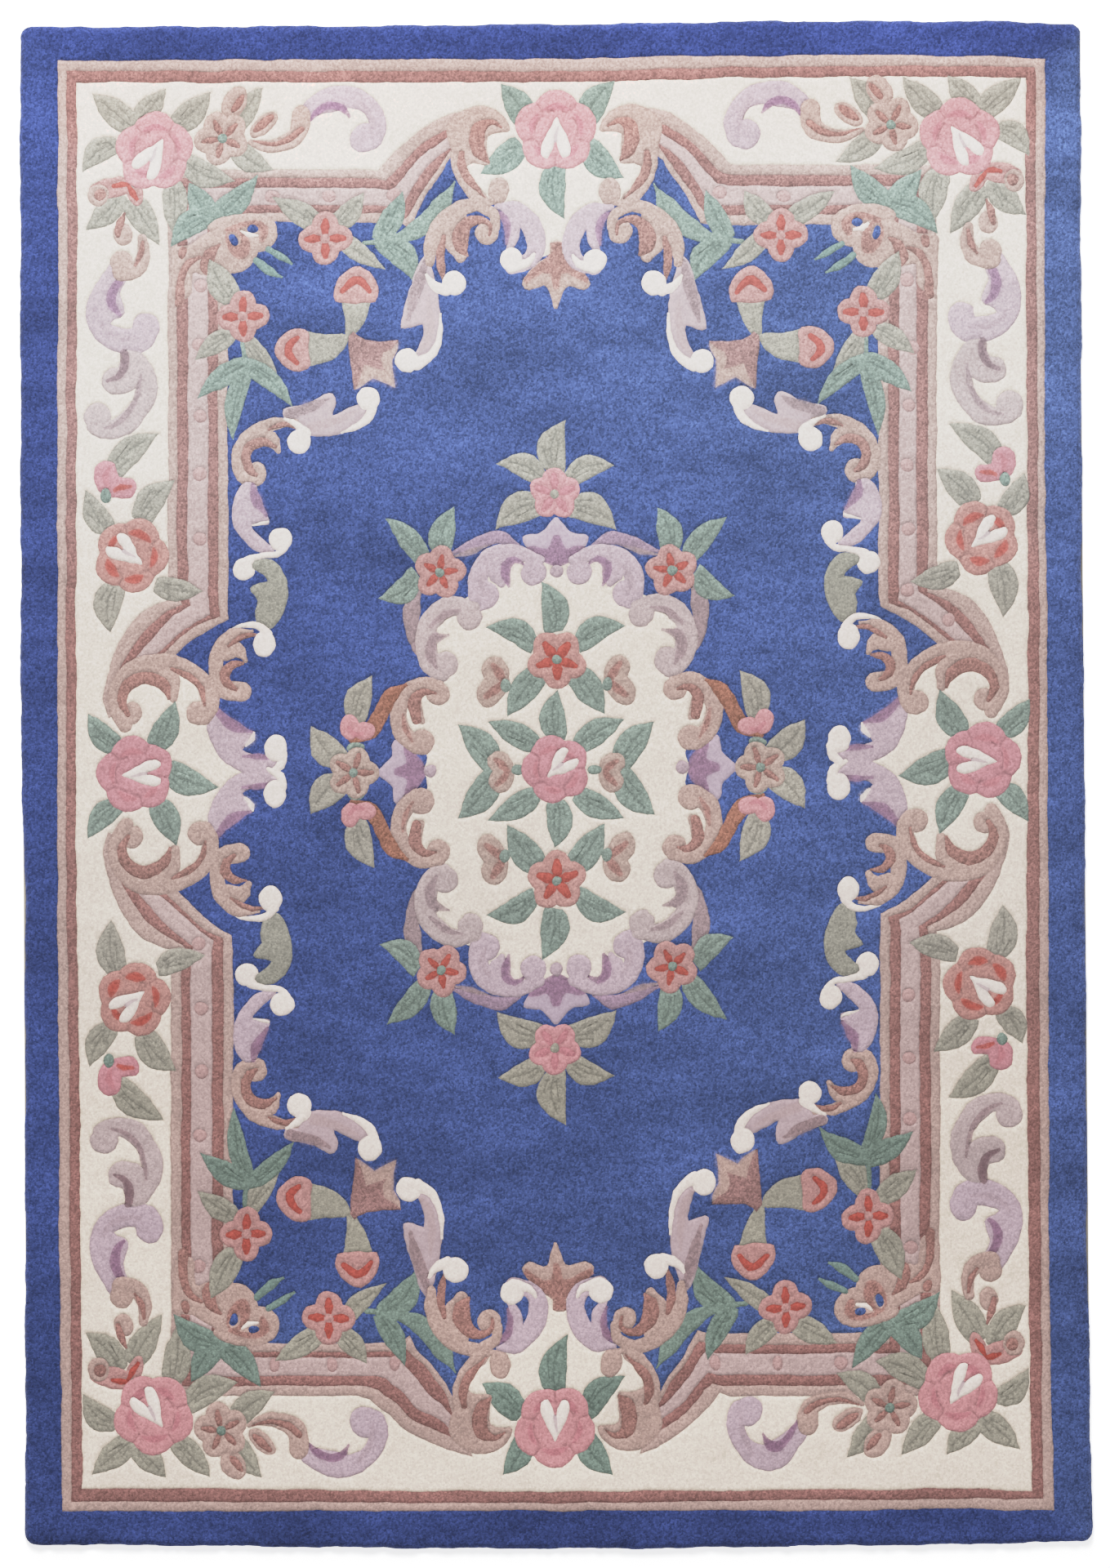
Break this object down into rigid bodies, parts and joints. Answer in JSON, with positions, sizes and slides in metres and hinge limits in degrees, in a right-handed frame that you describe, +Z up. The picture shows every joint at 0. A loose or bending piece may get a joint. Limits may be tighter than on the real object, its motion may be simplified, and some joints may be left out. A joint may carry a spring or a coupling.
{
  "type": "rug",
  "caption": "Flat rectangular aubusson rug of cut wool pile, with its flowers, scrolls and borders carved into the surface.",
  "frame": {"origin": "on the floor under the middle of the rug", "axes": "+Z up out of the pile, +Y along the rug's length"},
  "size_m": [1.4152, 2.0172, 0.014],
  "materials": {
    "blue_wool": "cut wool pile, royal blue, matte",
    "ivory_wool": "cut wool pile, ivory, matte",
    "tan_wool": "cut wool pile, pale tan, matte",
    "rose_wool": "cut wool pile, rose brown, matte",
    "lilac_wool": "cut wool pile, grey lilac, matte",
    "purple_wool": "cut wool pile, mauve, matte",
    "jade_wool": "cut wool pile, pale jade, matte",
    "sage_wool": "cut wool pile, pale sage, matte",
    "pink_wool": "cut wool pile, pink, matte",
    "coral_wool": "cut wool pile, coral red, matte",
    "backing": "plain cotton backing cloth, matte"
  },
  "bodies": {
    "root": {"rug": "blue_wool"}
  },
  "joints": []
}
